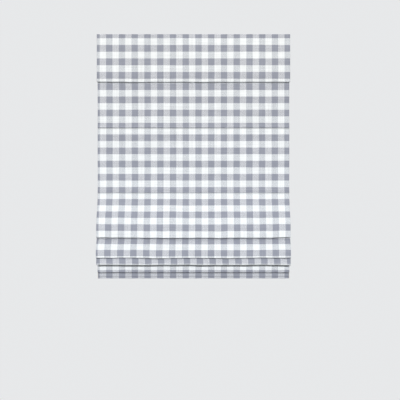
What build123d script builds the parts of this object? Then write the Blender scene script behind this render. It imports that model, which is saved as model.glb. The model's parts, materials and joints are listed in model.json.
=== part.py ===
from build123d import *
import math
import os

# Cordless roman blind, inside mount, part lowered.
# Frame: +X to the right seen from the room, +Y towards the window, +Z up.
# The origin is the centre of the four bracket screw holes, on the soffit.
# All lengths are in millimetres.

# ---- driving dimensions: cloth
PANEL_W = 766.0  # face cloth, side hem to side hem
CLOTH_T = 0.8  # cloth, as a plain solid
PITCH = 260.0  # cloth between two battens
TOP_SPAN = 111.5  # soffit to the first batten
RAISED_GAPS = (129.0, 33.0, 18.0)  # spacing of battens 2-3, 3-4 and 4-5 as stored
FOLD_REACH = (0.290, 0.203, 0.157)  # how far each fold leans forward, as a share of its spare cloth
FOLD_LEAN = (150.0, 115.0, 125.0)  # height over which its front leg leans out
FOLD_R = 4.0  # bend at a fold's lower edge
SKIRT_L = 140.0  # last batten to the bottom hem
SEAM_GAP = 0.4  # between one span's end and the next span's start
TUCK_F = 1.3  # a rear leg meets its seam this far in front of the cloth plane

# ---- driving dimensions: valance
VALANCE_W = 771.0
VALANCE_H = 189.0
VALANCE_TOP = 1.0  # below the soffit
VALANCE_GAP = 8.0  # in front of the face cloth
HEM_ROD_R = 1.5
HEM_ROD_PLAY = 0.1
HEM_ROD_INSET = 4.0
STRIP_GAP = 0.05  # header strip behind the valance cloth

# ---- driving dimensions: battens and bottom bar
BATTEN_H = 6.0
BATTEN_T = 2.0
BATTEN_CORNER = 0.9
POCKET_WALL = 0.7
POCKET_PLAY = 0.3
POCKET_CORNER = 1.2
BATTEN_INSET = 5.0  # batten end inside the pocket end
POCKET_INSET = 3.0  # pocket end inside the cloth edge
BAR_H = 22.0
BAR_T = 5.0
BAR_PLAY = 0.2
BAR_ROUND = 0.46  # corner radius of the bar and its caps, as a share of their depth
SLEEVE_ROUND = 0.48  # largest corner radius of a flat sleeve, as a share of its depth
BAR_FORWARD = 0.8  # bar centre in front of the cloth plane
HEM_INSET = 2.0  # hem end inside the cloth edge
CAP_PLUG = 6.0
CAP_FLANGE = 2.0

# ---- driving dimensions: headrail, brackets and tapes
RAIL_DEPTH = 48.0
RAIL_H = 36.0
RAIL_WALL = 1.0
RAIL_LIP = 6.0
RAIL_DROP = 3.0  # rail top below the soffit
RAIL_INSET = 4.0  # rail end inside the cloth edge
END_CAP_T = 2.0
END_CAP_PLUG = 8.0
END_CAP_WALL = 2.0
TAPE_T = 1.0
TAPE_INSET = 6.0
TAPE_EDGE = 1.5
BRACKET_X = 280.0
BRACKET_W = 30.0
BRACKET_T = 1.5
BRACKET_HOLE_R = 2.5
BRACKET_HOLES = 24.0  # spacing of a bracket's two holes, front to back
BRACKET_HOOK = 5.0

# ---- driving dimensions: lift
CORD_X = (-255.0, 0.0, 255.0)
CORD_R = 0.6
RING_R = 4.0
RING_WIRE = 1.0
SPOOL_R = 8.0
SPOOL_FLANGE = 3.0  # flange above the winding surface
SPOOL_L = 30.0
FLANGE_T = 1.5
JOURNAL_R = 4.6
JOURNAL_L = 3.0
SHAFT_AF = 6.0  # across the flats of the hexagonal shaft
SHAFT_PLAY = 0.1  # a hexagonal hole is this much wider
SHAFT_END = 10.0  # shaft beyond the outer cradles
RUN_GAP = 0.06  # radial running clearance of journals
PART_GAP = 0.2  # sliding-in clearance of fittings in the rail
WIND_GAP = 0.05  # hanging cord's surface to the winding surface
WOUND_L = 12.0
CRADLE_CLEAR = 0.6  # spool flange to each end wall
CRADLE_PLAY = 0.5  # journal beyond the end wall, less the clearance
CRADLE_T = 2.0  # floor and back wall
CRADLE_BACK = 4.0  # spool flange to the outside of the back wall
CRADLE_RIM = 3.0  # end wall above the journal
EYELET_R = 2.0
EYELET_WALL = 1.6
EYELET_FLANGE = 1.2
STOP_R = 4.0
STOP_H = 7.0
STOP_FILLET = 1.5
STOP_GAP = 0.5  # below the last ring
STOP_PLAY = 0.1
KNOT_R = 1.2

# ---- driving dimensions: spring motor
MOTOR_X = 70.0  # its left wall
MOTOR_L = 38.0
MOTOR_WALL = 1.5
DRUM_CORE_R = 5.0
DRUM_GAP = 0.5
AXLE_R = 2.0
SPRING_T = 0.6
SPRING_COIL = 1.6  # build-up of the wound spring
SPRING_GAP = 0.1  # coil to drum core
COVER_PLUG = 1.0

SIDES = {"left": -1, "right": 1}
CORDS = dict(zip(("left", "centre", "right"), CORD_X))

# ---- places that follow from them
RAIL_FRONT = -RAIL_DEPTH / 2
CLOTH_Y = RAIL_FRONT - 2 * TAPE_T - CLOTH_T / 2
CLOTH_BACK = CLOTH_Y + CLOTH_T / 2
RAIL_TOP = -RAIL_DROP
RAIL_BOTTOM = RAIL_TOP - RAIL_H
RAIL_L = PANEL_W - 2 * RAIL_INSET - 2 * END_CAP_T
POCKET_T = BATTEN_T + 2 * POCKET_PLAY + 2 * POCKET_WALL
POCKET_H = BATTEN_H + 2 * POCKET_PLAY + 2 * POCKET_WALL
POCKET_Y = CLOTH_BACK + POCKET_T / 2
CORD_Y = CLOTH_BACK + POCKET_T + RING_WIRE + RING_R
WIND_R = SPOOL_R + CORD_R + WIND_GAP
SHAFT_Y = CORD_Y + WIND_R
SHAFT_Z = (RAIL_TOP + RAIL_BOTTOM) / 2
CRADLE_WALL = JOURNAL_L - CRADLE_PLAY

# batten heights, top to bottom, and the heights of the hem
BATTEN_Z = [-TOP_SPAN, -TOP_SPAN - PITCH, -TOP_SPAN - 2 * PITCH]
for gap in RAISED_GAPS:
    BATTEN_Z.append(BATTEN_Z[-1] - gap)
HEM_TOP = BATTEN_Z[-1] - SKIRT_L
HEM_H = BAR_H + 2 * BAR_PLAY + 2 * CLOTH_T
HEM_T = BAR_T + 2 * BAR_PLAY + 2 * CLOTH_T
BAR_Z = HEM_TOP - HEM_H / 2
BAR_Y = CLOTH_Y - BAR_FORWARD
STOP_TOP = BATTEN_Z[-1] - RING_WIRE - STOP_GAP

os.makedirs("parts", exist_ok=True)


# ---- small shapes

def block(x, y, z):
    """A box from its low and high ends along each axis."""
    size = [b - a for a, b in (x, y, z)]
    middle = [(a + b) / 2 for a, b in (x, y, z)]
    return Pos(*middle) * Box(*size)


def rod(x, y, z, radius):
    """A cylinder along X between two ends."""
    return Pos((x[0] + x[1]) / 2, y, z) * Rot(0, 90, 0) * Cylinder(radius, x[1] - x[0])


def post(x, y, z, radius):
    """A cylinder along Z between two heights."""
    return Pos(x, y, (z[0] + z[1]) / 2) * Cylinder(radius, z[1] - z[0])


def along_x(profile, x, y=0.0, z=0.0):
    """A profile drawn in Y and Z, run along X between two ends."""
    return Pos(0, y, z) * extrude(Plane.YZ.offset(x[0]) * profile, x[1] - x[0])


def sleeve(x, y, z, outer, inner, corner):
    """A flat tube along X; outer and inner are (depth, height)."""
    skin = RectangleRounded(*outer, corner)
    hole = RectangleRounded(*inner, min(corner, SLEEVE_ROUND * min(inner)))
    return along_x(skin - hole, x, y, z)


def span_x(inset=0.0, width=PANEL_W):
    """The two ends of a piece centred on the blind."""
    return (-width / 2 + inset, width / 2 - inset)


# ---- cloth

def smooth(u):
    """Rises from 0 to 1 with level ends."""
    return u * u * (3 - 2 * u)


def leg(start, end, lean, steps=12):
    """Points down or up one leg of a fold, each with its direction, as (forward, height)."""
    (near, high), (far, low) = start, end
    way = math.copysign(1, low - high)
    points = []
    for i in range(steps + 1):
        travel = abs(low - high) * i / steps
        share = min(travel / lean, 1)
        slope = (far - near) * 6 * share * (1 - share) / lean
        size = math.hypot(slope, 1)
        place = (near + (far - near) * smooth(share), high + way * travel)
        points.append((place, (slope / size, way / size)))
    return points


def fold_legs(top, edge, low, reach, lean):
    """The front leg and the rear leg of a fold, which meet in a round lower edge."""
    knee = edge + FOLD_R
    back = reach - 2 * FOLD_R
    front = leg((0.0, top), (reach, knee), min(lean, top - knee))
    rear = leg((back, knee), (TUCK_F, low), low - knee)
    return front, rear


def cloth_in(legs):
    """The length of cloth in a fold."""
    runs = [math.dist(a[0], b[0]) for points in legs for a, b in zip(points, points[1:])]
    return sum(runs) + math.pi * FOLD_R


def hung_fold(top, low, reach, lean):
    """The fold between two battens whose cloth is one pitch long."""
    deep, shallow = low - PITCH, low - 3 * FOLD_R
    for _ in range(40):
        edge = (deep + shallow) / 2
        if cloth_in(fold_legs(top, edge, low, reach, lean)) > PITCH:
            deep = edge
        else:
            shallow = edge
    return fold_legs(top, edge, low, reach, lean)


def fold_side(legs, distance):
    """The curve at one face of the folded cloth: leg, round lower edge, leg."""
    sides = []
    for points in legs:
        sides.append(
            [
                (0.0, CLOTH_Y - forward + distance * rise, height + distance * run)
                for (forward, height), (run, rise) in points
            ]
        )
    front, rear = sides
    bottom = (0.0, (front[-1][1] + rear[0][1]) / 2, front[-1][2] - FOLD_R - distance)
    down, up = (0, 0, -1), (0, 0, 1)
    return [
        Spline(*front, tangents=(down, down)),
        ThreePointArc(front[-1], bottom, rear[0]),
        Spline(*rear, tangents=(up, up)),
    ]


def folded_cloth(legs, x):
    """Cloth of even thickness that follows a fold, run along X."""
    outside = fold_side(legs, CLOTH_T / 2)
    inside = fold_side(legs, -CLOTH_T / 2)
    ends = [Line(outside[-1] @ 1, inside[-1] @ 1), Line(outside[0] @ 0, inside[0] @ 0)]
    face = Face(Wire(outside + inside + ends))
    return Pos(x[0], 0, 0) * extrude(face, x[1] - x[0], dir=(1, 0, 0))


def flat_cloth(top, low, x):
    return block(x, (CLOTH_Y - CLOTH_T / 2, CLOTH_BACK), (low, top))


def cloth_spans():
    spans = {}
    panel_top = SHAFT_Z - TAPE_EDGE / 2
    tops = [panel_top] + [z - SEAM_GAP / 2 for z in BATTEN_Z[:2]]
    lows = [z + SEAM_GAP / 2 for z in BATTEN_Z[:3]]
    for n, (top, low) in enumerate(zip(tops, lows)):
        spans[f"cloth_span_{n}"] = flat_cloth(top, low, span_x())
    top = BATTEN_Z[2] - SEAM_GAP / 2
    for n, (gap, share, lean) in enumerate(zip(RAISED_GAPS, FOLD_REACH, FOLD_LEAN), start=3):
        low = BATTEN_Z[n] + POCKET_H / 2
        legs = hung_fold(top, low, share * (PITCH - gap), lean)
        spans[f"cloth_span_{n}"] = folded_cloth(legs, span_x())
        top = low
    spans["cloth_skirt"] = flat_cloth(top, HEM_TOP, span_x())
    return spans


def bottom_hem():
    """The closed hem that the bottom bar slides into."""
    outer = (HEM_T, HEM_H)
    inner = (BAR_T + 2 * BAR_PLAY, BAR_H + 2 * BAR_PLAY)
    return sleeve(span_x(HEM_INSET), BAR_Y, BAR_Z, outer, inner, SLEEVE_ROUND * HEM_T)


def valance():
    """The valance cloth with its hem tube, the rod in the hem, and its header strip."""
    front = CLOTH_Y - VALANCE_GAP
    x = span_x(width=VALANCE_W)
    low = -VALANCE_TOP - VALANCE_H
    sheet = block(x, (front - CLOTH_T / 2, front + CLOTH_T / 2), (low, -VALANCE_TOP))
    bore_r = HEM_ROD_R + HEM_ROD_PLAY
    tube_r = bore_r + CLOTH_T
    tube_y = front - CLOTH_T / 2 + tube_r
    tube_z = low + tube_r
    tube = rod(x, tube_y, tube_z, tube_r) - rod(x, tube_y, tube_z, bore_r)
    cloth = sheet - rod(x, tube_y, tube_z, tube_r) + tube
    hem_rod = rod((x[0] + HEM_ROD_INSET, x[1] - HEM_ROD_INSET), tube_y, tube_z, HEM_ROD_R)
    strip = block(
        (x[0] + TAPE_INSET, x[1] - TAPE_INSET),
        (front + CLOTH_T / 2 + STRIP_GAP, RAIL_FRONT - 2 * TAPE_T),
        (SHAFT_Z + TAPE_EDGE / 2, RAIL_TOP),
    )
    return {"valance_cloth": cloth, "valance_rod": hem_rod, "valance_strip": strip}


# ---- battens, rings and bottom bar

def batten_set(n):
    """One batten, its pocket behind the cloth and its three cord rings."""
    z = BATTEN_Z[n]
    pocket_x = span_x(POCKET_INSET)
    batten_x = span_x(POCKET_INSET + BATTEN_INSET)
    inner = (BATTEN_T + 2 * POCKET_PLAY, BATTEN_H + 2 * POCKET_PLAY)
    section = RectangleRounded(BATTEN_T, BATTEN_H, BATTEN_CORNER)
    batten = along_x(section, batten_x, POCKET_Y, z)
    pocket = sleeve(pocket_x, POCKET_Y, z, (POCKET_T, POCKET_H), inner, POCKET_CORNER)
    rings = [Pos(x, CORD_Y, z) * Torus(RING_R, RING_WIRE) for x in CORD_X]
    return {
        f"batten_{n}": batten,
        f"batten_pocket_{n}": pocket,
        f"cord_rings_{n}": Compound(rings),
    }


def bar_set():
    """The flat weight bar and the two caps that close the hem's ends."""
    hem_x = span_x(HEM_INSET)
    bar_x = (hem_x[0] + CAP_PLUG + BAR_PLAY, hem_x[1] - CAP_PLUG - BAR_PLAY)
    section = RectangleRounded(BAR_T, BAR_H, BAR_ROUND * BAR_T)
    flange = RectangleRounded(HEM_T, HEM_H, BAR_ROUND * HEM_T)
    pieces = {"bottom_bar": along_x(section, bar_x, BAR_Y, BAR_Z)}
    for name, side in SIDES.items():
        end = side * hem_x[1]
        plug_x = sorted((end - side * CAP_PLUG, end))
        flange_x = sorted((end, end + side * CAP_FLANGE))
        cap = along_x(section, plug_x, BAR_Y, BAR_Z) + along_x(flange, flange_x, BAR_Y, BAR_Z)
        pieces[f"bar_cap_{name}"] = cap
    return pieces


# ---- headrail and what fixes it

def headrail():
    """An open-topped channel with inward lips and three cord holes."""
    half = RAIL_DEPTH / 2
    x = (-RAIL_L / 2, RAIL_L / 2)
    inside = half - RAIL_WALL
    solid = block(x, (-half, half), (RAIL_BOTTOM, RAIL_TOP))
    solid -= block(x, (-inside, inside), (RAIL_BOTTOM + RAIL_WALL, RAIL_TOP - RAIL_WALL))
    solid -= block(x, (-inside + RAIL_LIP, inside - RAIL_LIP), (RAIL_TOP - RAIL_WALL, RAIL_TOP))
    for cord in CORD_X:
        floor = (RAIL_BOTTOM - 1, RAIL_BOTTOM + RAIL_WALL + 1)
        solid -= post(cord, CORD_Y, floor, EYELET_R + EYELET_WALL)
    return solid


def end_cap(side):
    """A plate on the rail's end with a plug that fits inside the channel."""
    half = RAIL_DEPTH / 2
    end = RAIL_L / 2
    plate_x = sorted((side * end, side * (end + END_CAP_T)))
    plug_x = sorted((side * end, side * (end - END_CAP_PLUG)))
    plug = half - RAIL_WALL - PART_GAP
    low, high = RAIL_BOTTOM + RAIL_WALL + PART_GAP, RAIL_TOP - RAIL_WALL - PART_GAP
    cap = block(plate_x, (-half, half), (RAIL_BOTTOM, RAIL_TOP))
    ring = block(plug_x, (-plug, plug), (low, high))
    hollow = plug - END_CAP_WALL
    ring -= block(plug_x, (-hollow, hollow), (low + END_CAP_WALL, high - END_CAP_WALL))
    return cap + ring


def bracket(side):
    """A soffit plate with two holes and two hooks that carry the rail's lips."""
    x = (side * BRACKET_X - BRACKET_W / 2, side * BRACKET_X + BRACKET_W / 2)
    half = RAIL_DEPTH / 2 - RAIL_WALL
    slot = half - RAIL_LIP - PART_GAP
    under = RAIL_TOP - RAIL_WALL
    plate = block(x, (-half, half), (-BRACKET_T, 0))
    for way in (-1, 1):
        tab_y = sorted((way * (slot - BRACKET_T), way * slot))
        hook_y = sorted((way * (slot - BRACKET_T), way * (slot + BRACKET_HOOK)))
        plate += block(x, tab_y, (under, -BRACKET_T))
        plate += block(x, hook_y, (under - BRACKET_T, under))
        hole_y = way * BRACKET_HOLES / 2
        plate -= post(side * BRACKET_X, hole_y, (-BRACKET_T - 1, 1), BRACKET_HOLE_R)
    return plate


def tapes():
    """Hook and loop strips: the upper pair holds the valance, the lower pair the cloth."""
    x = span_x(TAPE_INSET + RAIL_INSET)
    rows = (
        (SHAFT_Z + TAPE_EDGE, RAIL_TOP - TAPE_EDGE),
        (RAIL_BOTTOM + TAPE_EDGE, SHAFT_Z - TAPE_EDGE),
    )
    hook_y = (RAIL_FRONT - TAPE_T, RAIL_FRONT)
    loop_y = (RAIL_FRONT - 2 * TAPE_T, RAIL_FRONT - TAPE_T)
    return {
        "hook_tapes": Compound([block(x, hook_y, z) for z in rows]),
        "loop_tapes": Compound([block(x, loop_y, z) for z in rows]),
    }


# ---- lift

def hex_bar(x, across):
    """A hexagonal bar along the shaft's axis, flats up and down."""
    section = RegularPolygon(across / 2, 6, major_radius=False, rotation=30)
    return along_x(section, x, SHAFT_Y, SHAFT_Z)


def drum(x, y, core, flange, journal):
    """A flanged drum along X with a journal at each end."""
    body = rod(x, y, SHAFT_Z, core)
    for end, way in zip(x, (1, -1)):
        body += rod(sorted((end, end + way * FLANGE_T)), y, SHAFT_Z, flange)
        if journal:
            body += rod(sorted((end, end - way * journal)), y, SHAFT_Z, JOURNAL_R)
    return body


def lift_shaft():
    reach = SPOOL_L / 2 + JOURNAL_L + SHAFT_END
    return hex_bar((CORD_X[0] - reach, CORD_X[-1] + reach), SHAFT_AF)


def cord_spool(cord):
    x = (cord - SPOOL_L / 2, cord + SPOOL_L / 2)
    spool = drum(x, SHAFT_Y, SPOOL_R, SPOOL_R + SPOOL_FLANGE, JOURNAL_L)
    return spool - hex_bar((x[0] - JOURNAL_L - 1, x[1] + JOURNAL_L + 1), SHAFT_AF + SHAFT_PLAY)


def wound_cord(cord):
    """The turns already on a spool, as one layer beside the hanging cord."""
    start = cord + 2 * CORD_R
    x = (start, start + WOUND_L)
    return rod(x, SHAFT_Y, SHAFT_Z, SPOOL_R + 2 * CORD_R) - rod(x, SHAFT_Y, SHAFT_Z, SPOOL_R)


def spool_cradle(cord):
    """An open tray in the rail whose end walls carry one spool."""
    reach = SPOOL_L / 2 + CRADLE_CLEAR
    inner = (cord - reach, cord + reach)
    outer = (inner[0] - CRADLE_WALL, inner[1] + CRADLE_WALL)
    flange = SPOOL_R + SPOOL_FLANGE
    front = RAIL_FRONT + RAIL_WALL + PART_GAP
    back = SHAFT_Y + flange + CRADLE_BACK
    floor = RAIL_BOTTOM + RAIL_WALL + PART_GAP
    top = SHAFT_Z + JOURNAL_R + CRADLE_RIM
    tray = block(outer, (front, back), (floor, top))
    tray -= block(inner, (front - 1, back - CRADLE_T), (floor + CRADLE_T, top + 1))
    tray -= rod((outer[0] - 1, outer[1] + 1), SHAFT_Y, SHAFT_Z, JOURNAL_R + RUN_GAP)
    tray -= post(cord, CORD_Y, (floor - 1, floor + CRADLE_T + 1), EYELET_R)
    return tray


def cord_eyelet(cord):
    """A flanged bush in the rail's floor."""
    top = RAIL_BOTTOM + RAIL_WALL
    bush = post(cord, CORD_Y, (RAIL_BOTTOM, top), EYELET_R + EYELET_WALL)
    bush += post(cord, CORD_Y, (RAIL_BOTTOM - EYELET_FLANGE, RAIL_BOTTOM), EYELET_R + 2 * EYELET_WALL)
    return bush - post(cord, CORD_Y, (RAIL_BOTTOM - EYELET_FLANGE - 1, top + 1), EYELET_R)


def cord_stop(cord):
    """A bead under the last ring that the cord is tied off in."""
    bead = post(cord, CORD_Y, (STOP_TOP - STOP_H, STOP_TOP), STOP_R)
    bead = fillet(bead.edges().filter_by(GeomType.CIRCLE), STOP_FILLET)
    return bead - post(cord, CORD_Y, (STOP_TOP - STOP_H - 1, STOP_TOP + 1), CORD_R + STOP_PLAY)


def lift_cord(cord):
    """One straight cord from its spool, through every ring, to the knot under the stop."""
    low = STOP_TOP - STOP_H - KNOT_R
    line = post(cord, CORD_Y, (low, SHAFT_Z), CORD_R)
    return line + Pos(cord, CORD_Y, low) * Sphere(KNOT_R)


# ---- spring motor

def motor():
    """The case in the rail, its two drums and the flat spring wound between them."""
    outer_x = (MOTOR_X, MOTOR_X + MOTOR_L)
    inner_x = (outer_x[0] + MOTOR_WALL, outer_x[1] - MOTOR_WALL)
    half = RAIL_DEPTH / 2 - RAIL_WALL - PART_GAP
    inside = half - MOTOR_WALL
    floor = RAIL_BOTTOM + RAIL_WALL + PART_GAP
    lid_top = RAIL_TOP - RAIL_WALL - PART_GAP
    rim = lid_top - MOTOR_WALL
    flange = (inside - SHAFT_Y - 2 * DRUM_GAP) / 3
    store_y = inside - DRUM_GAP - flange
    drum_x = (inner_x[0] + DRUM_GAP, inner_x[1] - DRUM_GAP)
    coil_x = (drum_x[0] + FLANGE_T + DRUM_GAP, drum_x[1] - FLANGE_T - DRUM_GAP)

    tray = block(outer_x, (-half, half), (floor, rim))
    tray -= block(inner_x, (-inside, inside), (floor + MOTOR_WALL, rim + 1))
    tray -= rod((outer_x[0] - 1, outer_x[1] + 1), SHAFT_Y, SHAFT_Z, JOURNAL_R + RUN_GAP)
    tray -= rod((outer_x[0] - 1, outer_x[1] + 1), store_y, SHAFT_Z, AXLE_R)
    cover = block(outer_x, (-half, half), (rim, lid_top))
    cover += block(
        (inner_x[0] + PART_GAP, inner_x[1] - PART_GAP),
        (-inside + PART_GAP, inside - PART_GAP),
        (rim - COVER_PLUG, rim),
    )

    output = drum(drum_x, SHAFT_Y, DRUM_CORE_R, flange, DRUM_GAP + MOTOR_WALL)
    output -= hex_bar((outer_x[0] - 1, outer_x[1] + 1), SHAFT_AF + SHAFT_PLAY)
    storage = drum(drum_x, store_y, DRUM_CORE_R, flange, 0)
    storage -= rod(outer_x, store_y, SHAFT_Z, AXLE_R + RUN_GAP)

    # the spring leaves the storage coil and crosses to the far side of the output coil
    coil = min(SPRING_COIL, flange - DRUM_CORE_R - DRUM_GAP)
    inner_r = DRUM_CORE_R + SPRING_GAP
    mid_r = inner_r + coil - SPRING_T / 2
    spacing = store_y - SHAFT_Y
    slope = math.asin(2 * mid_r / spacing)
    run = spacing * math.cos(slope)
    strip = Box(coil_x[1] - coil_x[0], run, SPRING_T)
    middle = Pos(sum(coil_x) / 2, (SHAFT_Y + store_y) / 2, SHAFT_Z)
    spring = middle * Rot(math.degrees(slope), 0, 0) * strip
    for y in (SHAFT_Y, store_y):
        spring += rod(coil_x, y, SHAFT_Z, inner_r + coil) - rod(coil_x, y, SHAFT_Z, inner_r)
    return {
        "motor_tray": tray,
        "motor_cover": cover,
        "output_drum": output,
        "storage_drum": storage,
        "storage_axle": rod(outer_x, store_y, SHAFT_Z, AXLE_R),
        "spring_tape": spring,
    }


def build():
    pieces = {"headrail": headrail(), "lift_shaft": lift_shaft()}
    for name, side in SIDES.items():
        pieces[f"end_cap_{name}"] = end_cap(side)
        pieces[f"bracket_{name}"] = bracket(side)
    for name, cord in CORDS.items():
        pieces[f"cord_spool_{name}"] = cord_spool(cord)
        pieces[f"spool_cradle_{name}"] = spool_cradle(cord)
        pieces[f"lift_cord_{name}"] = lift_cord(cord)
    pieces["wound_cords"] = Compound([wound_cord(cord) for cord in CORD_X])
    pieces["cord_eyelets"] = Compound([cord_eyelet(cord) for cord in CORD_X])
    pieces["cord_stops"] = Compound([cord_stop(cord) for cord in CORD_X])
    for n in range(len(BATTEN_Z)):
        pieces |= batten_set(n)
    return pieces | motor() | tapes() | valance() | cloth_spans() | bar_set() | {
        "bottom_hem": bottom_hem()
    }


for node, shape in build().items():
    export_step(shape, f"parts/{node}.step")

print("batten heights", [round(z, 2) for z in BATTEN_Z])
print("shaft axis", round(SHAFT_Y, 3), round(SHAFT_Z, 3), "cord plane", round(CORD_Y, 3))
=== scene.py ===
import json
import math

import bpy
import numpy as np
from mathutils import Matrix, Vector


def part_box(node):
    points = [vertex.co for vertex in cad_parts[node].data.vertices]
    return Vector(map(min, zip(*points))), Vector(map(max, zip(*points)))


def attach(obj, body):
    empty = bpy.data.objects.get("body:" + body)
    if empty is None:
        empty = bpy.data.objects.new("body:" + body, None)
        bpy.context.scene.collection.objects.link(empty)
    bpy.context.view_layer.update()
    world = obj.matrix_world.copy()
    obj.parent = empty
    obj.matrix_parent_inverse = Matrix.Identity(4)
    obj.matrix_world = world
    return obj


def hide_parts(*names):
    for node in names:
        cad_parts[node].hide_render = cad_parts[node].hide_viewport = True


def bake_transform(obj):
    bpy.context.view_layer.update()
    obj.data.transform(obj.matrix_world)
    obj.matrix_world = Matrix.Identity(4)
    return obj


# A cordless roman blind of woven gingham, partly raised. Metres throughout.
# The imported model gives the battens, the hem, the headrail and the lift; here the cloth is
# hung between them, the cords are run through their rings, and every surface gets its finish.

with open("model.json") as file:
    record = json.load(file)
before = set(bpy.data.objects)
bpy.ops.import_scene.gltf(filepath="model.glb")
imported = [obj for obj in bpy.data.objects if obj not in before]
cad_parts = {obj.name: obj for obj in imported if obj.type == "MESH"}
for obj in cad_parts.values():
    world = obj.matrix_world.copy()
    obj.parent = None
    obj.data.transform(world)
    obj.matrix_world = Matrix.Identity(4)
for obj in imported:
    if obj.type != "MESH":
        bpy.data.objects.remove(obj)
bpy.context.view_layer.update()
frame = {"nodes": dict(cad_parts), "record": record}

# ---- sizes of the cloth
THICK = 0.00045  # woven cotton
GRID = 0.004  # spacing of the cloth's points
RIM = 0.0004  # the last points before a free edge
SIDE_HEM = 0.018  # turned to the back and stitched down
HEM_LAYER = 0.0004  # the turned cloth's thickness
STITCH_INSET = 0.0015  # a side hem's stitches lie this far inside its fold
FACE_F = -0.00017  # a flat span's face against its battens, forward of the cloth plane
BELLY = 0.0018  # the upper half of a flat span stands this far forward
BELLY_TOP, BELLY_END = 0.030, 0.035  # heights over which the belly comes in and goes
PLEAT_H = 0.014  # a span comes forward to its seam over this height
PLEAT_DROP = 0.0012  # a seam's pinched edge hangs this far below the stitches
PLEAT_BACK = 0.0003  # the pinched edge's rear layer, forward of the cloth plane
PLEAT_UP = 0.002  # and how far it rises above the stitches
LOOP_R = 0.003  # bend at the lower edge of a fold
FOLD_LEAN = (0.150, 0.115, 0.125)  # height over which each fold leans out
FIRST_FOLD = 3
TUCK_F = 0.0013  # a rear leg meets its seam this far forward
SHADE_LINE_TOP = 0.004  # a painted shade line, dark colour standing in for the shadow at a crease, lies this far below the seam above it
SHADE_LINE_EDGE = 0.0055  # and this far along the cloth from a fold's lower edge
SHADE_LINE_PLEAT = 0.012  # and this far above a flat span's end
SHADE_LINE_W = 0.0026  # painted shade darkens the cloth over this much to each side of such a line
SKIRT_BELLY = 0.006  # the skirt stands this far forward under the folds
HEM_BULGE = 0.0042  # and this far above the hem's stitches
SKIRT_TOP, SKIRT_END = 0.050, 0.030  # heights over which it comes out and goes in again
HEM_CREASE_R = 0.0014  # its bend back to the stitches
HEM_SHADE_LINE = 0.0030  # how far down the cloth round the bar its painted shade line lies, the dark colour under the skirt's crease, its stitches and the dent below the bar's middle, which also gets a painted shade line, and that dent's width
HEM_STITCH = 0.0045  # its stitches
HEM_DENT, HEM_DENT_W = 0.0175, 0.0025  # and the dent below the bar's middle, and that dent's width
HEM_DENT_DEPTH = 0.0006
ROD_SLACK = 0.0015  # cloth below the rod in the valance's hem
ROD_PLAY = 0.0002  # and around it
ROD_EASE = 0.030  # the valance comes forward or back to its rod over this height
VALANCE_HEM = 0.013  # height of its turned part, which rises behind
VALANCE_HEM_GAP = 0.0009  # its layers lie this far apart
VALANCE_STITCH = 0.0125  # stitches above the turn
VALANCE_DENT, VALANCE_DENT_W = 0.0003, 0.0015  # the dent that they pull in
TAPE_H = 0.018  # the first span hangs flat on the headrail's tape over this height
TAPE_STEP = 0.0006  # and stands this much further forward below it
SPOOL_RIM = 0.003  # a cord spool's rim stands this far above its barrel
THREAD_R = 0.00025  # whipping on the rings
FAR = 1.0  # stands for no stitch line or painted shade line nearby

# ---- unevenness of the cloth
RIPPLE = 0.00045  # on the flat spans
FOLD_RIPPLE, FIRST_FOLD_RIPPLE = 0.0006, 0.0011
VALANCE_RIPPLE = 0.0005
HEM_RIPPLE = 0.00022
CALM_TOP, CALM_END = 0.02, 0.03  # ripples come in below a seam and die out above one over this much
REAR_CALM = 0.05  # and behind a fold over this much
PUCKER, PUCKER_W = 0.00018, 0.007  # gathers beside a stitch line, and how far they reach
SAG_PACE = 1.15  # a fold takes the whole shape of its lower edge a little above that edge

# ---- pace of the points round bends
LOOP_STEPS, HEM_STEPS = 10, 12
CORD_POINTS = 25

# ---- the woven check
COLUMN = 0.05084  # one grey and one white stripe across
DARK_X = 0.0200  # middle of a grey stripe
GREY_ROW = 0.505  # share of a repeat down the cloth that is grey
YARN = 0.0007  # from one yarn to the next

# ---- camera
LENS = 56.25
SENSOR = 36.0
EYE = Vector((0.026, -2.5264, -0.662))

# ---- stage
FLOOR_R = 1.6
FLOOR_DROP = 1.9  # the floor lies this far below the first batten
FLOOR_SIDES = 96
SKY_LIGHT = 0.12
SKY_TINT = (0.96, 0.98, 1.0, 1.0)
BACKDROP = (0.80, 0.81, 0.82, 1.0)

CORDS = ["lift_cord_left", "lift_cord_centre", "lift_cord_right"]


def middle(node):
    low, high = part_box(node)
    return (low + high) / 2


FLAT_LOW, FLAT_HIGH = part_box("cloth_span_1")
HALF = FLAT_HIGH.x
CLOTH_Y = (FLAT_LOW.y + FLAT_HIGH.y) / 2
CAD_HALF_T = (FLAT_HIGH.y - FLAT_LOW.y) / 2
BATTEN_Z = [middle(f"batten_{n}").z for n in range(6)]
POCKET_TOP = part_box("batten_pocket_0")[1].z - BATTEN_Z[0]


# ---- centrelines of cloth, as (forward of the cloth plane, height)

def smooth(u):
    u = np.clip(u, 0, 1)
    return u * u * (3 - 2 * u)


def drop(high, low, forward, step=GRID):
    """Points from one height down or up to another; forward gives how far out each stands."""
    count = max(2, math.ceil(abs(high - low) / step))
    heights = np.linspace(high, low, count + 1)
    return [(float(forward(z)), float(z)) for z in heights]


def turn(forward, height, radius, start, end, steps=8):
    """Points round an arc; angles in degrees from straight forward, anticlockwise."""
    angles = np.radians(np.linspace(start, end, steps + 1))
    return [(forward + radius * math.cos(a), height + radius * math.sin(a)) for a in angles]


def joined(*runs):
    """One line from several, without repeated or nearly repeated points."""
    points = [runs[0][0]]
    for point in (p for run in runs for p in run):
        if math.dist(point, points[-1]) > 0.0001:
            points.append(point)
    return np.array(points)


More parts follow.
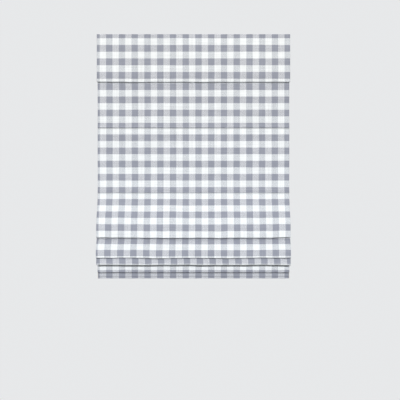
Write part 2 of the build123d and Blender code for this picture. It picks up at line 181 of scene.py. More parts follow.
def with_rims(line):
    """Adds a point close to each end, so that a free edge is shaded as a narrow rounded one."""
    def near(a, b):
        return a + (b - a) * min(RIM / np.linalg.norm(b - a), 0.4)
    return np.vstack([line[:1], near(line[0], line[1]), line[1:-1], near(line[-1], line[-2]), line[-1:]])


def lengths(line):
    """How far along the cloth each point lies."""
    return np.concatenate([[0], np.cumsum(np.linalg.norm(np.diff(line, axis=0), axis=1))])


def first_turn(line):
    """How many points lie before the line starts to rise."""
    rising = np.nonzero(np.diff(line[:, 1]) > 0)[0]
    return int(rising[0]) + 1 if len(rising) else len(line)


def length_at(line, height):
    """How far along the cloth a height lies, on the way down its front."""
    down = first_turn(line)
    return np.interp(-height, -line[:down, 1], lengths(line)[:down])


def normals(line):
    """Unit vectors out of the cloth's face at each point."""
    along = np.gradient(line, axis=0)
    along /= np.linalg.norm(along, axis=1)[:, None]
    return np.stack([-along[:, 1], along[:, 0]], axis=1)


# ---- unevenness

def waves(x, s, seed, height, shortest, longest, count=7, upright=0.35):
    """Soft uneven relief from a few seeded waves; upright below 1 favours vertical ripples."""
    source = np.random.default_rng(seed)
    total = np.zeros(np.broadcast(x, s).shape)
    for _ in range(count):
        size = 2 * math.pi / source.uniform(shortest, longest)
        heading = source.uniform(-1, 1) * upright * math.pi / 2
        shift = source.uniform(0, 2 * math.pi)
        total += np.sin(size * (x * math.cos(heading) + s * math.sin(heading)) + shift)
    return height * total / math.sqrt(count)


# ---- making cloth

def columns(half):
    """Places across the cloth, closer together at the side hems."""
    inner = np.linspace(-half + SIDE_HEM + RIM, half - SIDE_HEM - RIM, round(2 * half / GRID))
    hem = np.linspace(-half + RIM, -half + SIDE_HEM - RIM, 6)
    left = np.concatenate([[-half], hem])
    return np.concatenate([left, inner, -left[::-1]])


def hem_depth(x, half):
    """How much thicker the cloth is at the back, over its side hems."""
    inside = half - np.abs(x)
    return HEM_LAYER * np.clip((SIDE_HEM - inside) / RIM, 0, 1)


def cloth(name, line, rows, half=HALF, relief=None, sag=None, skew=0.0,
          seam_at=(), shade_lines=(), hemmed=True):
    """A closed thin sheet along a centreline.

    rows is (height of a grey row's upper edge on the front, length of a repeat along the cloth).
    relief(x, share, total) moves points out of the face and sag(x, share) moves them up; share is
    how far along the cloth a point lies, from 0 to 1, and total the cloth's length. skew shifts the
    check sideways by the sheet's end. seam_at lists how far along the cloth each stitch line lies,
    and the list after it gives places the same way, with how dark the painted shade line at each is."""
    line = with_rims(line)
    along, out = lengths(line), normals(line)
    total = along[-1]
    x = columns(half)
    grid_x, grid_s = np.meshgrid(x, along)
    shift = np.zeros_like(grid_x) if relief is None else relief(grid_x, grid_s / total, total)
    lift = np.zeros_like(grid_x) if sag is None else sag(grid_x, grid_s / total)
    edge = smooth((half - np.abs(grid_x)) / (3 * RIM))
    sides = []
    for way, extra in ((1, 0.0), (-1, hem_depth(grid_x, half) if hemmed else 0.0)):
        away = shift + way * (THICK / 2 * (0.4 + 0.6 * edge) + extra)
        forward = line[:, :1] + out[:, :1] * away
        height = line[:, 1:] + out[:, 1:] * away + lift
        sides.append(np.stack([grid_x, CLOTH_Y - forward, height], axis=-1).reshape(-1, 3))
    count_s, count_x = grid_x.shape
    mesh = sheet_mesh(name, np.vstack(sides), count_s, count_x)

    start, repeat = rows
    woven_y = (grid_s - length_at(line, start)) / repeat
    add_uv(mesh, "weave", grid_x + skew * grid_s / total, woven_y * COLUMN)
    add_uv(mesh, "edges", half - np.abs(grid_x), nearest(grid_s, [(place, 0.0) for place in seam_at])[0])
    # Painted shade lines: the distance to the nearest one and how dark it is, for the cloth shader.
    add_uv(mesh, "creases_and_shade", *nearest(grid_s, shade_lines))
    piece = bpy.data.objects.new(name, mesh)
    bpy.context.scene.collection.objects.link(piece)
    mesh.materials.append(materials["gingham_cloth"])
    piece["cloth_length"] = float(total)
    return piece


def nearest(s, places):
    """Signed distance along the cloth to the nearest of some places, and the value given there."""
    gap, value = np.full_like(s, FAR), np.zeros_like(s)
    for place, here in places:
        closer = np.abs(s - place) < np.abs(gap)
        gap, value = np.where(closer, s - place, gap), np.where(closer, here, value)
    return gap, value


def sheet_mesh(name, points, count_s, count_x):
    """Front and back grids of points, joined round their rim."""
    far = count_s * count_x
    index = np.arange(far).reshape(count_s, count_x)
    back = index + far
    a, b, c, d = index[:-1, :-1], index[:-1, 1:], index[1:, 1:], index[1:, :-1]
    faces = [np.stack([a, d, c, b], -1), np.stack([a + far, b + far, c + far, d + far], -1)]
    faces.append(np.stack([index[0, :-1], index[0, 1:], back[0, 1:], back[0, :-1]], -1))
    faces.append(np.stack([index[-1, :-1], back[-1, :-1], back[-1, 1:], index[-1, 1:]], -1))
    faces.append(np.stack([index[:-1, 0], back[:-1, 0], back[1:, 0], index[1:, 0]], -1))
    faces.append(np.stack([index[:-1, -1], index[1:, -1], back[1:, -1], back[:-1, -1]], -1))
    mesh = bpy.data.meshes.new(name)
    mesh.from_pydata(points.tolist(), [], np.concatenate([f.reshape(-1, 4) for f in faces]).tolist())
    mesh.polygons.foreach_set("use_smooth", [True] * len(mesh.polygons))
    mesh.update()
    return mesh


def add_uv(mesh, name, across, down):
    """A UV map in metres; the back of a sheet has the same coordinates as its front."""
    places = np.stack([across, down], -1).reshape(-1, 2)
    corners = np.zeros(len(mesh.loops), np.int32)
    mesh.loops.foreach_get("vertex_index", corners)
    layer = mesh.uv_layers.new(name=name)
    layer.data.foreach_set("uv", places[corners % len(places)].astype(np.float32).ravel())


# ---- shorthand for a material's nodes

class Graph:
    """A material and the nodes that feed its shader. A method takes sockets or plain numbers."""

    def __init__(self, name, **constants):
        self.material = bpy.data.materials.new(name)
        self.material.use_nodes = True
        self.tree = self.material.node_tree
        self.shader = self.tree.nodes["Principled BSDF"]
        for socket, value in constants.items():
            self.shader.inputs[socket.replace("_", " ")].default_value = value

    def feed(self, socket, value):
        if isinstance(value, bpy.types.NodeSocket):
            self.tree.links.new(value, socket)
        else:
            socket.default_value = value

    def node(self, kind, inputs=(), **settings):
        node = self.tree.nodes.new("ShaderNode" + kind)
        for key, value in settings.items():
            setattr(node, key, value)
        for key, value in dict(inputs).items():
            self.feed(node.inputs[key], value)
        return node

    def math(self, operation, a, b=0.0, clamp=False):
        return self.node("Math", {0: a, 1: b}, operation=operation, use_clamp=clamp).outputs[0]

    def mix(self, share, a, b, blend_type="MIX"):
        inputs = {0: share, 6: colour(a), 7: colour(b)}
        return self.node("Mix", inputs, data_type="RGBA", blend_type=blend_type).outputs[2]

    def shade(self, tint, tone):
        """A colour made darker or lighter by a plain factor."""
        grey = self.node("CombineColor", {0: tone, 1: tone, 2: tone}).outputs[0]
        return self.mix(1.0, tint, grey, blend_type="MULTIPLY")

    def uv(self, name):
        return self.node("UVMap", uv_map=name).outputs[0]

    def place(self):
        return self.node("TexCoord").outputs["Object"]

    def split(self, vector):
        return self.node("SeparateXYZ", {0: vector}).outputs

    def scaled(self, vector, *factors):
        return self.node("VectorMath", {0: vector, 1: factors}, operation="MULTIPLY").outputs[0]

    def noise(self, vector, scale=1.0, detail=2.0):
        return self.node("TexNoise", {"Vector": vector, "Scale": scale, "Detail": detail}).outputs[0]

    def spread(self, value, low, high):
        """Turns 0 to 1 into low to high."""
        return self.math("ADD", self.math("MULTIPLY", value, high - low), low)

    def bump(self, height, distance, strength=1.0, under=None):
        inputs = {"Height": height, "Distance": distance, "Strength": strength}
        if under is not None:
            inputs["Normal"] = under
        return self.node("Bump", inputs).outputs[0]

    def finish(self, **sockets):
        for name, value in sockets.items():
            self.feed(self.shader.inputs[name.replace("_", " ")], value)
        return self.material


def colour(value):
    return (*value, 1.0) if isinstance(value, tuple) and len(value) == 3 else value


# ---- finishes

def stitch_line(graph, across, along, length=0.0032, half_width=0.00035, gap=0.3):
    """1 on the threads of a stitch line, 0 elsewhere."""
    near = graph.math("SUBTRACT", 1.0, graph.math("DIVIDE", graph.math("ABSOLUTE", across), half_width))
    beat = graph.math("FRACT", graph.math("DIVIDE", along, length))
    from_middle = graph.math("ABSOLUTE", graph.math("SUBTRACT", beat, 0.5))
    dash = graph.math("LESS_THAN", from_middle, (1 - gap) / 2)
    return graph.math("MULTIPLY", graph.math("MAXIMUM", near, 0.0), dash)


def gingham():
    """Yarn-dyed check: grey and white stripes in the warp and in the weft of a plain weave."""
    white = (0.86, 0.885, 0.90)
    grey_warp = (0.296, 0.327, 0.388)
    grey_weft = (0.310, 0.315, 0.372)
    graph = Graph("gingham_cloth", Sheen_Weight=0.22, Sheen_Roughness=0.45, IOR=1.46)
    graph.shader.inputs["Specular IOR Level"].default_value = 0.22
    weave = graph.uv("weave")
    wobble = graph.noise(graph.scaled(weave, 45.0, 45.0, 1.0))
    u, v, _ = graph.split(weave)
    u = graph.math("ADD", u, graph.spread(wobble, -0.0008, 0.0008))
    v = graph.math("ADD", v, graph.spread(wobble, 0.0008, -0.0008))

    def stripe(value, centre, share=0.5):
        turns = graph.math("MULTIPLY", graph.math("SUBTRACT", value, centre), 2 * math.pi / COLUMN)
        wave = graph.math("SUBTRACT", graph.math("COSINE", turns), math.cos(math.pi * share))
        return graph.math("ADD", graph.math("MULTIPLY", wave, 9.0), 0.5, clamp=True)

    def thread(value):
        return graph.math("SINE", graph.math("MULTIPLY", value, math.pi / YARN))

    warp = graph.mix(stripe(u, DARK_X), white, grey_warp)
    weft = graph.mix(stripe(v, COLUMN * GREY_ROW / 2, GREY_ROW), white, grey_weft)
    crossing = graph.math("MULTIPLY", thread(u), thread(v))
    weft_up = graph.math("ADD", graph.math("MULTIPLY", crossing, 0.42), 0.58, clamp=True)
    woven = graph.mix(weft_up, warp, weft)
    slub_u = graph.noise(graph.scaled(weave, 210.0, 6.0, 1.0))
    slub_v = graph.noise(graph.scaled(weave, 6.0, 210.0, 1.0))
    slub = graph.math("ADD", slub_u, slub_v)
    broad = graph.noise(graph.scaled(weave, 7.0, 5.0, 1.0), detail=3.0)
    tone = graph.math("ADD", graph.spread(slub, 0.74, 1.0), graph.spread(broad, -0.02, 0.06))
    inset, seam, _ = graph.split(graph.uv("edges"))
    # Painted shade: the cloth is made up to 14% darker within 4 mm of its side edges.
    rolled = graph.spread(graph.math("DIVIDE", inset, 0.004, clamp=True), 0.86, 1.0)
    tone = graph.math("MULTIPLY", tone, rolled)
    # Painted shade: the cloth is darkened along thin lines under seams, at fold edges and round the hem,
    # where shadow falls.
    away, depth, _ = graph.split(graph.uv("creases_and_shade"))
    away = graph.math("POWER", graph.math("DIVIDE", graph.math("ABSOLUTE", away), SHADE_LINE_W), 2.0)
    crease_shade = graph.math("MULTIPLY", graph.math("EXPONENT", graph.math("MULTIPLY", away, -1.0)), depth)
    tone = graph.math("MULTIPLY", tone, graph.math("SUBTRACT", 1.0, crease_shade))

    hem_thread = stitch_line(graph, graph.math("SUBTRACT", inset, SIDE_HEM - STITCH_INSET), v, gap=0.6)
    seam_thread = stitch_line(graph, seam, u)
    threads = graph.math("MAXIMUM", graph.math("MULTIPLY", hem_thread, 0.35), seam_thread)
    base = graph.mix(graph.math("MULTIPLY", threads, 0.8), graph.shade(woven, tone), (0.80, 0.81, 0.83))
    ridge_u, ridge_v = (graph.math("ABSOLUTE", thread(w)) for w in (u, v))
    ridges = graph.math("ADD", graph.math("MULTIPLY", ridge_u, graph.math("SUBTRACT", 1.0, weft_up)),
                        graph.math("MULTIPLY", ridge_v, weft_up))
    creases_and_shade = graph.noise(graph.scaled(weave, 30.0, 22.0, 1.0), detail=4.0)
    normal = graph.bump(creases_and_shade, 0.0012, 0.35)
    normal = graph.bump(ridges, 0.00016, 0.6, normal)
    normal = graph.bump(threads, 0.0004, 0.8, normal)
    return graph.finish(Base_Color=base, Normal=normal, Roughness=graph.spread(slub, 0.74, 0.90))


def tape(name, base, pitch=0.0006):
    """A narrow woven tape with a twill line."""
    graph = Graph(name, Sheen_Weight=0.15, Sheen_Roughness=0.5)
    x, _, z = graph.split(graph.place())
    lean = graph.math("ADD", x, graph.math("MULTIPLY", z, 0.7))
    twill = graph.math("SINE", graph.math("MULTIPLY", lean, 2 * math.pi / (3 * pitch)))
    rib = graph.math("SINE", graph.math("MULTIPLY", z, 2 * math.pi / pitch))
    height = graph.math("ADD", twill, graph.math("MULTIPLY", rib, 0.5))
    patch = graph.noise(graph.scaled(graph.place(), 60.0, 60.0, 300.0), detail=3.0)
    darker = tuple(0.82 * c for c in base)
    tint = graph.mix(graph.spread(patch, 0.0, 0.6), base, darker)
    return graph.finish(Base_Color=tint, Normal=graph.bump(height, 0.00012, 0.7),
                        Roughness=graph.spread(patch, 0.78, 0.95))


def bristles(name, base):
    """Hook and loop fastener: a dense field of short hooks on a knitted tape."""
    graph = Graph(name, Sheen_Weight=0.3, Sheen_Roughness=0.6)
    cells = graph.node("TexVoronoi", {"Vector": graph.place(), "Scale": 900.0}).outputs["Distance"]
    fuzz = graph.noise(graph.place(), 1800.0, 2.0)
    height = graph.math("ADD", cells, graph.math("MULTIPLY", fuzz, 0.5))
    tint = graph.mix(graph.math("MULTIPLY", cells, 1.4, clamp=True), base, tuple(0.68 * c for c in base))
    return graph.finish(Base_Color=tint, Normal=graph.bump(height, 0.0005, 0.9),
                        Roughness=graph.spread(fuzz, 0.8, 0.98))


def moulded(name, base, roughness=0.45, grain=2400.0, depth=0.00003, coat=0.0):
    """Moulded plastic: fine grain, faint flow marks, handling wear in its sheen."""
    graph = Graph(name, IOR=1.5, Coat_Weight=coat)
    grainy = graph.noise(graph.place(), grain, 3.0)
    flow = graph.noise(graph.scaled(graph.place(), 25.0, 60.0, 90.0), detail=4.0)
    tint = graph.mix(graph.spread(flow, 0.0, 0.7), base, tuple(0.86 * c for c in base))
    rough = graph.math("ADD", graph.spread(flow, roughness - 0.08, roughness + 0.12),
                       graph.spread(grainy, -0.05, 0.05))
    normal = graph.bump(flow, 0.0002, 0.25)
    return graph.finish(Base_Color=tint, Roughness=rough, Normal=graph.bump(grainy, depth, 0.6, normal))


def enamel():
    """Baked white enamel on rolled steel: faint orange peel and specks."""
    graph = Graph("rail_enamel", IOR=1.5, Coat_Weight=0.25, Coat_Roughness=0.2)
    peel = graph.noise(graph.place(), 420.0, 2.0)
    rolled = graph.noise(graph.scaled(graph.place(), 4.0, 300.0, 300.0), detail=3.0)
    specks = graph.math("GREATER_THAN", graph.noise(graph.place(), 1500.0, 0.0), 0.79)
    tint = graph.mix(graph.spread(rolled, 0.0, 0.5), (0.86, 0.86, 0.85), (0.80, 0.80, 0.785))
    tint = graph.mix(graph.math("MULTIPLY", specks, 0.35), tint, (0.55, 0.54, 0.52))
    normal = graph.bump(rolled, 0.0002, 0.15)
    return graph.finish(Base_Color=tint, Roughness=graph.spread(peel, 0.28, 0.42),
                        Normal=graph.bump(peel, 0.00006, 0.5, normal))


def metal(name, base, roughness, along=(6.0, 900.0, 900.0), stains=0.25):
    """Bare or plated metal with drawing lines along X and faint stains."""
    graph = Graph(name, Metallic=1.0)
    lines = graph.noise(graph.scaled(graph.place(), *along), detail=4.0)
    cloudy = graph.noise(graph.place(), 55.0, 4.0)
    tint = graph.mix(graph.spread(cloudy, 0.0, stains * 2), base, tuple(0.62 * c for c in base))
    rough = graph.math("ADD", graph.spread(lines, roughness - 0.1, roughness + 0.12),
                       graph.spread(cloudy, -0.04, 0.08))
    return graph.finish(Base_Color=tint, Roughness=rough, Normal=graph.bump(lines, 0.00005, 0.5))


def fibreglass():
    """Pultruded rod and batten: pale resin with fibres along X."""
    graph = Graph("batten_fibreglass", IOR=1.52, Coat_Weight=0.2)
    fibres = graph.noise(graph.scaled(graph.place(), 10.0, 2200.0, 2200.0), detail=4.0)
    tint = graph.mix(fibres, (0.83, 0.85, 0.80), (0.62, 0.66, 0.60))
    return graph.finish(Base_Color=tint, Roughness=graph.spread(fibres, 0.3, 0.5),
                        Normal=graph.bump(fibres, 0.00004, 0.6))


def braid():
    """Braided polyester cord."""
    graph = Graph("cord", Sheen_Weight=0.2, Sheen_Roughness=0.4)
    x, y, z = graph.split(graph.place())
    turns = graph.math("MULTIPLY", z, 2 * math.pi / 0.0016)
    side = graph.math("MULTIPLY", graph.math("ADD", x, y), 2600.0)
    left = graph.math("SINE", graph.math("ADD", turns, side))
    right = graph.math("SINE", graph.math("SUBTRACT", turns, side))
    plait = graph.math("MAXIMUM", left, right)
    fuzz = graph.noise(graph.place(), 3000.0)
    tint = graph.mix(graph.spread(plait, 0.15, 0.5), (0.86, 0.86, 0.85), (0.58, 0.58, 0.58))
    return graph.finish(Base_Color=tint, Normal=graph.bump(plait, 0.0001, 0.8),
                        Roughness=graph.spread(fuzz, 0.6, 0.85))


materials = {
    "gingham_cloth": gingham(),
    "pocket_tape": tape("pocket_tape", (0.84, 0.84, 0.83)),
    "rail_enamel": enamel(),
    "bracket_steel": metal("bracket_steel", (0.66, 0.67, 0.69), 0.38, (60.0, 60.0, 60.0)),
    "cap_plastic": moulded("cap_plastic", (0.74, 0.71, 0.66), 0.42),
    "ring_plastic": moulded("ring_plastic", (0.88, 0.88, 0.86), 0.25, coat=0.3),
    "shaft_steel": metal("shaft_steel", (0.56, 0.57, 0.59), 0.34),
    "spool_nylon": moulded("spool_nylon", (0.84, 0.82, 0.76), 0.40),
    "cradle_plastic": moulded("cradle_plastic", (0.60, 0.61, 0.61), 0.55, depth=0.00005),
    "motor_plastic": moulded("motor_plastic", (0.085, 0.09, 0.10), 0.5, 1600.0, 0.00008),
    "spring_steel": metal("spring_steel", (0.42, 0.45, 0.50), 0.24),
    "cord": braid(),
    "hook_tape": bristles("hook_tape", (0.80, 0.80, 0.79)),
    "batten_fibreglass": fibreglass(),
    "bar_aluminium": metal("bar_aluminium", (0.78, 0.79, 0.80), 0.36),
    "strip_pvc": moulded("strip_pvc", (0.82, 0.82, 0.80), 0.5),
}


def finish_cad():
    """Gives each CAD node that is still shown its own finish."""
    for part in frame["record"]["subparts"]:
        for place in frame["nodes"][part["node"]].material_slots:
            place.material = materials[part["material_slot"]]


# ---- the pieces of cloth

def puckers(x, gap, seed):
    """Small gathers that a stitch line pulls into the cloth beside it."""
    fade = np.exp(-np.abs(gap) / PUCKER_W)
    return fade * waves(x, gap, seed, PUCKER, 0.007, 0.018, upright=0.05)


def dent(s, place, depth, width):
    """A soft groove across the cloth."""
    return -depth * np.exp(-(((s - place) / width) ** 2))


def flat_relief(seed, top_seam=True, low_seam=True):
    """Faint ripples that die out at the seams, with puckers beside them."""
    def relief(x, share, total):
        s = share * total
        room = smooth(s / CALM_TOP) * smooth((total - s) / CALM_END)
        soft = waves(x, s, seed, RIPPLE, 0.09, 0.32) * room
        top = puckers(x, s, seed + 1) if top_seam else 0.0
        low = puckers(x, total - s, seed + 2) if low_seam else 0.0
        return soft + top + low
    return relief


def flat_span(n, rows, depth, creases_and_shade):
    """Cloth between two battens that are let right down.

    depth is how far forward the pinched edge at its seam stands: cloth hangs over the stitches
    and turns back under. creases gives how dark the painted shade lines at its two ends are."""
    top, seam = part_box(f"cloth_span_{n}")[1].z, BATTEN_Z[n]
    half_way = (top + seam) / 2
    radius = (depth - PLEAT_BACK) / 2
    low = seam - PLEAT_DROP + radius

    def forward(z):
        belly = BELLY * smooth((top - z) / BELLY_TOP) * (1 - smooth((half_way - z) / BELLY_END))
        tuck = depth * smooth((low + PLEAT_H - z) / PLEAT_H)
        return FACE_F + belly + tuck
    line = joined(
        drop(top, low, forward), turn(PLEAT_BACK + radius, low, radius, 0, -180),
        drop(low, seam + PLEAT_UP, lambda z: PLEAT_BACK, step=0.001),
    )
    places = (SHADE_LINE_TOP, lengths(line)[-1] - SHADE_LINE_PLEAT)
    piece = cloth(f"span_{n}", line, rows, relief=flat_relief(10 * n), shade_lines=list(zip(places, creases_and_shade)))
    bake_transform(piece)
    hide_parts(f"cloth_span_{n}")


def top_span(rows):
    """Cloth between the headrail's lower tape and the first batten, behind the valance."""
    top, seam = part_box("cloth_span_0")[1].z, BATTEN_Z[0]

    def forward(z):
        return FACE_F + TAPE_STEP * smooth((top - TAPE_H - z) / 0.02)
    line = np.array(drop(top, seam + 0.0005, forward))
    piece = cloth("span_0", line, rows, relief=flat_relief(3, top_seam=False))
    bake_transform(piece)
    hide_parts("cloth_span_0")


def uneven(lift, seed, height, shortest, longest, bow=0.0):
    """The shape of a fold's lower edge: how far each point across it stands above its CAD place."""
    def shape(x):
        arch = lift - bow * np.cos(x / HALF * math.pi / 2)
        return arch + waves(x, 0.0, seed, height, shortest, longest, upright=0)
    return shape


def fold(n, rows, edge_shape, creases_and_shade, skew=0.0, ripple=FOLD_RIPPLE):
    """Gathered cloth between two battens that are drawn together.

    It hangs from the upper batten, turns at its lower edge and rises behind to the lower one.
    creases gives how dark the painted shade lines at its seam and at its lower edge are."""
    low_corner, high_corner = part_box(f"cloth_span_{n}")
    lean = FOLD_LEAN[n - FIRST_FOLD]
    reach = CLOTH_Y - low_corner.y - CAD_HALF_T
    top, edge = high_corner.z, low_corner.z + CAD_HALF_T
    knee, back = edge + LOOP_R, reach - 2 * LOOP_R
    end = BATTEN_Z[n] + POCKET_TOP

    def down(z):
        return reach * smooth((top - z) / lean)

    def up(z):
        return back - (back - TUCK_F) * ((z - knee) / (end - knee)) ** 2

    front = joined(drop(top, knee, down), turn(reach - LOOP_R, knee, LOOP_R, 0, -180, LOOP_STEPS))
    rear = joined(drop(knee, end, up))
    front_length = lengths(front)[-1]

    def swell(x, s):
        return waves(x, s, 7 * n, ripple, 0.08, 0.30, upright=0.25)

    def relief(x, share, total):
        s = share * total
        return smooth(s / CALM_END) * swell(x, s) + puckers(x, s, 7 * n + 1)

    def rear_relief(x, share, total):
        return (1 - smooth(share * total / REAR_CALM)) * swell(x, np.full_like(x, front_length))

    def sag(x, share):
        return edge_shape(x) * smooth(share * SAG_PACE)

    def rear_sag(x, share):
        return edge_shape(x) * (1 - smooth(share))

    start, repeat = rows
    rear_rows = (knee - (length_at(front, start) - front_length), repeat)
    places = (SHADE_LINE_TOP, front_length - SHADE_LINE_EDGE)
    pieces = (
        cloth(f"fold_{n}_front", front, rows, relief=relief, sag=sag, skew=skew,
              shade_lines=list(zip(places, creases_and_shade))),
        cloth(f"fold_{n}_rear", rear, rear_rows, relief=rear_relief, sag=rear_sag),
    )
    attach(pieces[0], f"row_{n - 1}")
    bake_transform(pieces[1])
    for piece, holder in zip(pieces, (f"batten_{n - 1}", f"batten_{n}")):
        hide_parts(f"cloth_span_{n}")


def skirt(rows):
    """Flat cloth from the last batten to the bottom hem."""
    low_corner, high_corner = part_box("cloth_skirt")
    top, low = high_corner.z, low_corner.z
    knee = low + 2 * HEM_CREASE_R

    def forward(z):
        belly = SKIRT_BELLY * smooth((top - z) / SKIRT_TOP)
        return belly + (HEM_BULGE - belly) * smooth((knee + SKIRT_END - z) / SKIRT_END)
    line = joined(
        drop(top, knee, forward, step=0.003),
        turn(HEM_BULGE - HEM_CREASE_R, knee, HEM_CREASE_R, 0, -120),
        [(0.0, low + HEM_CREASE_R), (0.0, low)],
    )
    piece = cloth("skirt", line, rows, relief=flat_relief(61, low_seam=False))
    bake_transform(piece)
    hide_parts("cloth_skirt")


def bottom_hem(rows):
    """The hem that wraps the weight bar: down its front, round and up its back."""
    low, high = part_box("bottom_hem")
    centre = CLOTH_Y - (low.y + high.y) / 2
    radius = (high.y - low.y - THICK) / 2
    top, bottom = high.z - THICK / 2 - radius, low.z + THICK / 2 + radius
    line = joined(
        turn(centre, top, radius, 88, 0), drop(top, bottom, lambda z: centre + radius, step=0.0013),
        turn(centre, bottom, radius, 0, -180, HEM_STEPS), drop(bottom, top, lambda z: centre - radius),
        turn(centre, top, radius, 180, 95),
    )

    def relief(x, share, total):
        s = share * total
        return waves(x, s, 71, HEM_RIPPLE, 0.02, 0.09) + dent(s, HEM_DENT, HEM_DENT_DEPTH, HEM_DENT_W)
    # Painted shade: dark lines coloured into the hem under the skirt's crease and along the dent.
    piece = cloth("bottom_hem_cloth", line, rows, half=high.x, relief=relief, hemmed=False,
                  seam_at=(HEM_STITCH,), shade_lines=((HEM_SHADE_LINE, 0.60), (HEM_DENT, 0.30)))
    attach(piece, "bar")
    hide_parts("bottom_hem")


def valance(rows):
    """The short flap over the headrail, hemmed round a thin rod."""
    low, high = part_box("valance_cloth")
    rod_low, rod_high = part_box("valance_rod")
    face = CLOTH_Y - low.y - CAD_HALF_T
    radius = (rod_high.z - rod_low.z) / 2 + THICK / 2 + ROD_PLAY
    bottom = low.z + radius + THICK / 2 - ROD_SLACK
    rod = CLOTH_Y - (rod_low.y + rod_high.y) / 2

    def forward(z):
        return face + (rod + radius - face) * smooth((bottom + ROD_EASE - z) / ROD_EASE)

    def turned(z):
        rear, against = rod - radius, face - VALANCE_HEM_GAP
        return rear + (against - rear) * smooth((z - bottom) / 0.010)
    line = joined(
        drop(high.z, bottom, forward), turn(rod, bottom, radius, 0, -180, HEM_STEPS),
        drop(bottom, bottom + VALANCE_HEM, turned),
    )

    def relief(x, share, total):
        s = share * total
        hem = total - math.pi * radius - VALANCE_HEM
        soft = waves(x, s, 81, VALANCE_RIPPLE, 0.10, 0.35) * smooth(s / CALM_END)
        return (soft + dent(s, hem - VALANCE_STITCH, VALANCE_DENT, VALANCE_DENT_W)) * (s < hem)
    hem_line = lengths(line)[first_turn(line) - 1] - VALANCE_STITCH
    piece = cloth("valance_face", line, rows, half=high.x, relief=relief, seam_at=(hem_line,))
    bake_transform(piece)
    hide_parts("valance_cloth")


# ---- cords, rings and threads

def tube(points, radius, sides=10):
    """A round tube along a line of points, closed at both ends, as vertices and faces."""
    points = np.array(points, float)
    along = np.gradient(points, axis=0)
    along /= np.linalg.norm(along, axis=1)[:, None]
    guide = np.array([0.0, 1.0, 0.0]) if abs(along[0][1]) < 0.9 else np.array([1.0, 0.0, 0.0])
    across = np.cross(along, guide)
    across /= np.linalg.norm(across, axis=1)[:, None]
    other = np.cross(along, across)
    angles = np.linspace(0, 2 * math.pi, sides, endpoint=False)
    ring = across[:, None] * np.cos(angles)[:, None] + other[:, None] * np.sin(angles)[:, None]
    vertices = (points[:, None] + radius * ring).reshape(-1, 3)
    faces = []
    for i in range(len(points) - 1):
        for j in range(sides):
            a, b = i * sides + j, i * sides + (j + 1) % sides
            faces.append((a, a + sides, b + sides, b))
    faces.append(tuple(range(sides)))
    faces.append(tuple(range(len(vertices) - 1, len(vertices) - sides - 1, -1)))
    return vertices, faces


def gather(name, shapes, slot):
    """One object from several (vertices, faces)."""
    vertices, faces = [], []
    for points, sides in shapes:
        faces += [tuple(v + len(vertices) for v in face) for face in sides]
        vertices += [tuple(p) for p in points]
    mesh = bpy.data.meshes.new(name)
    mesh.from_pydata(vertices, [], faces)
    mesh.polygons.foreach_set("use_smooth", [len(f) == 4 for f in faces])
    mesh.materials.append(materials[slot])
    piece = bpy.data.objects.new(name, mesh)
    bpy.context.scene.collection.objects.link(piece)
    return piece


def lift_cords():
    """The three cords, one length between each two rings."""
    places = [middle(node) for node in CORDS]
    radius = (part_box("wound_cords")[1].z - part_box("cord_spool_centre")[1].z + SPOOL_RIM) / 2
    low_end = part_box(CORDS[0])[0].z
    ring_y = middle("cord_rings_0").y
    heights = [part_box(CORDS[0])[1].z, *BATTEN_Z[:5], low_end + 0.001]
    for n, (high, low) in enumerate(zip(heights, heights[1:])):
        shapes = []
        for place in places:
            line = [(place.x, ring_y, z) for z in np.linspace(high, low, CORD_POINTS)]
            shapes.append(tube(line, radius))
        piece = gather(f"lift_cords_{n}", shapes, "cord")
        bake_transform(piece)
        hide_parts(*CORDS)
    knots = []
    size = 0.00044  # of a trefoil knot, pulled tight
    for place in places:
        knot = [
            (place.x + size * (math.sin(t) + 2 * math.sin(2 * t)),
             ring_y + size * (math.cos(t) - 2 * math.cos(2 * t)),
             low_end + 0.0012 - 0.0007 * math.sin(3 * t)) for t in np.linspace(0, 2 * math.pi, 33)
        ]
        knots.append(tube(knot, radius * 0.95, 8))
        tail = [(place.x + 0.0004, ring_y, low_end + 0.001 - 0.001 * k) for k in range(8)]
        knots.append(tube(tail, radius * 0.9, 8))
    piece = gather("cord_knots", knots, "cord")
    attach(piece, "row_5")
    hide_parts(*CORDS)


def ring_threads(n):
    """Whipping that ties each ring to its batten pocket."""
    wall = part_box(f"batten_pocket_{n}")[1].y + 0.0006
    wraps = []
    for cord in CORDS:
        x = middle(cord).x
        for beside in (-0.00072, -0.00024, 0.00024, 0.00072):
            loop = [
                (x + beside, wall + 0.0012 * math.cos(a), BATTEN_Z[n] + 0.0015 * math.sin(a))
                for a in np.linspace(0, 2 * math.pi, 15)
            ]
            wraps.append(tube(loop, THREAD_R, 6))
    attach(gather(f"ring_threads_{n}", wraps, "cord"), f"row_{n}")


# ---- stage, light and camera

def stage():
    """A plain pale floor, well below the blind as it hangs in its opening."""
    low = BATTEN_Z[0] - FLOOR_DROP
    angles = np.linspace(0, 2 * math.pi, FLOOR_SIDES, endpoint=False)
    ring = [(FLOOR_R * math.cos(a), FLOOR_R * math.sin(a), low) for a in angles]
    mesh = bpy.data.meshes.new("floor")
    mesh.from_pydata(ring, [], [tuple(range(FLOOR_SIDES))])
    graph = Graph("floor")
    speckle = graph.noise(graph.place(), 30.0, 4.0)
    mesh.materials.append(graph.finish(
        Base_Color=graph.mix(speckle, (0.78, 0.78, 0.77), (0.74, 0.74, 0.73)), Roughness=0.9))
    floor = bpy.data.objects.new("floor", mesh)
    bpy.context.scene.collection.objects.link(floor)


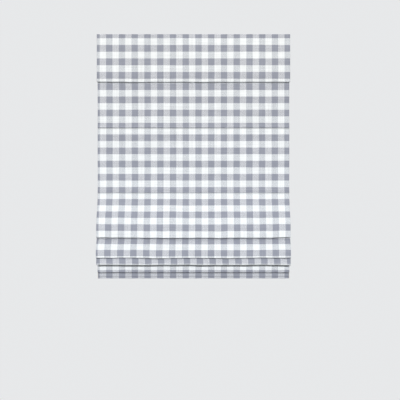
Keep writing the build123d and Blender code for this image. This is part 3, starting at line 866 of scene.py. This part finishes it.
def lamp(name, place, target, size, power, spread=180.0, tint=(1.0, 1.0, 1.0)):
    """A soft box of some watts; a spread below 180 degrees stands for a grid in front of it."""
    light = bpy.data.lights.new(name, "AREA")
    light.spread = math.radians(spread)
    light.shape = "RECTANGLE"
    light.size, light.size_y = size
    light.energy = power
    light.color = tint
    holder = bpy.data.objects.new(name, light)
    holder.location = place
    holder.rotation_euler = (Vector(target) - Vector(place)).to_track_quat("-Z", "Y").to_euler()
    bpy.context.scene.collection.objects.link(holder)


def surroundings():
    """A dim even sky that lights the blind, and the pale backdrop that is seen behind it."""
    world = bpy.data.worlds.new("studio")
    world.use_nodes = True
    bpy.context.scene.world = world
    tree = world.node_tree
    sky, out = tree.nodes["Background"], tree.nodes["World Output"]
    sky.inputs["Color"].default_value = SKY_TINT
    sky.inputs["Strength"].default_value = SKY_LIGHT
    backdrop = tree.nodes.new("ShaderNodeBackground")
    backdrop.inputs["Color"].default_value = BACKDROP
    ray, choice = tree.nodes.new("ShaderNodeLightPath"), tree.nodes.new("ShaderNodeMixShader")
    tree.links.new(ray.outputs["Is Camera Ray"], choice.inputs[0])
    tree.links.new(sky.outputs[0], choice.inputs[1])
    tree.links.new(backdrop.outputs[0], choice.inputs[2])
    tree.links.new(choice.outputs[0], out.inputs["Surface"])


def camera():
    """Level, and square to the cloth, as the photograph was taken."""
    lens = bpy.data.cameras.new("camera")
    lens.lens, lens.sensor_width = LENS, SENSOR
    holder = bpy.data.objects.new("camera", lens)
    holder.location = EYE
    holder.rotation_euler = (math.radians(90), 0, 0)
    bpy.context.scene.collection.objects.link(holder)
    bpy.context.scene.camera = holder


# The height of a grey row's upper edge and the length of a repeat are read off the photograph,
# sheet by sheet, because each fold hides its own share of cloth.
finish_cad()
valance(rows=(-0.0975, 0.0539))
top_span(rows=(-0.0885, 0.0525))
# The pairs after depth or after the edge shape set how dark each sheet's painted shade lines are.
flat_span(1, rows=(-0.2484, 0.0525), depth=0.0024, creases_and_shade=(0.30, 0.0))
flat_span(2, rows=(-0.5050, 0.05265), depth=0.0030, creases_and_shade=(0.32, 0.15))
fold(3, (-0.6582, 0.0538), uneven(0.0042, 31, 0.0004, 0.05, 0.25, bow=0.0018), (0.2, 0.50),
     ripple=FIRST_FOLD_RIPPLE)
fold(4, (-0.8592, 0.0485), uneven(0.0014, 41, 0.0003, 0.08, 0.30, bow=0.0012), (0.0, 0.88), skew=0.002)
fold(5, (-0.8912, 0.0485), uneven(0.0020, 51, 0.0003, 0.08, 0.30), (0.0, 0.92), skew=-0.006)
skirt(rows=(-0.9412, 0.0525))
bottom_hem(rows=(-0.9516, 0.0525))
lift_cords()
for row in range(6):
    ring_threads(row)
stage()
surroundings()
# The upper box rakes the valance and the flat spans, so that seams cast thin lines. The lower one
# lights the folds from nearly straight in front.
lamp("upper", (0.0, -1.45, 0.90), (0.0, 0.0, -0.10), (2.4, 0.16), 6.0, 44.0, (1.0, 0.99, 0.97))
lamp("lower", (0.0, -2.75, -0.10), (0.0, 0.0, -0.95), (2.4, 0.20), 6.2, 36.0, (0.98, 0.99, 1.0))
lamp("back", (0.6, 1.8, 0.9), (0.0, 0.0, -0.5), (1.6, 1.2), 42.0)
for place in (-0.8, 0.8):
    lamp("floor", (0.0, place, -1.35), (0.0, place * 1.01, -2.0), (3.2, 1.6), 14.0)
camera()
bpy.context.scene.view_settings.view_transform = "Standard"
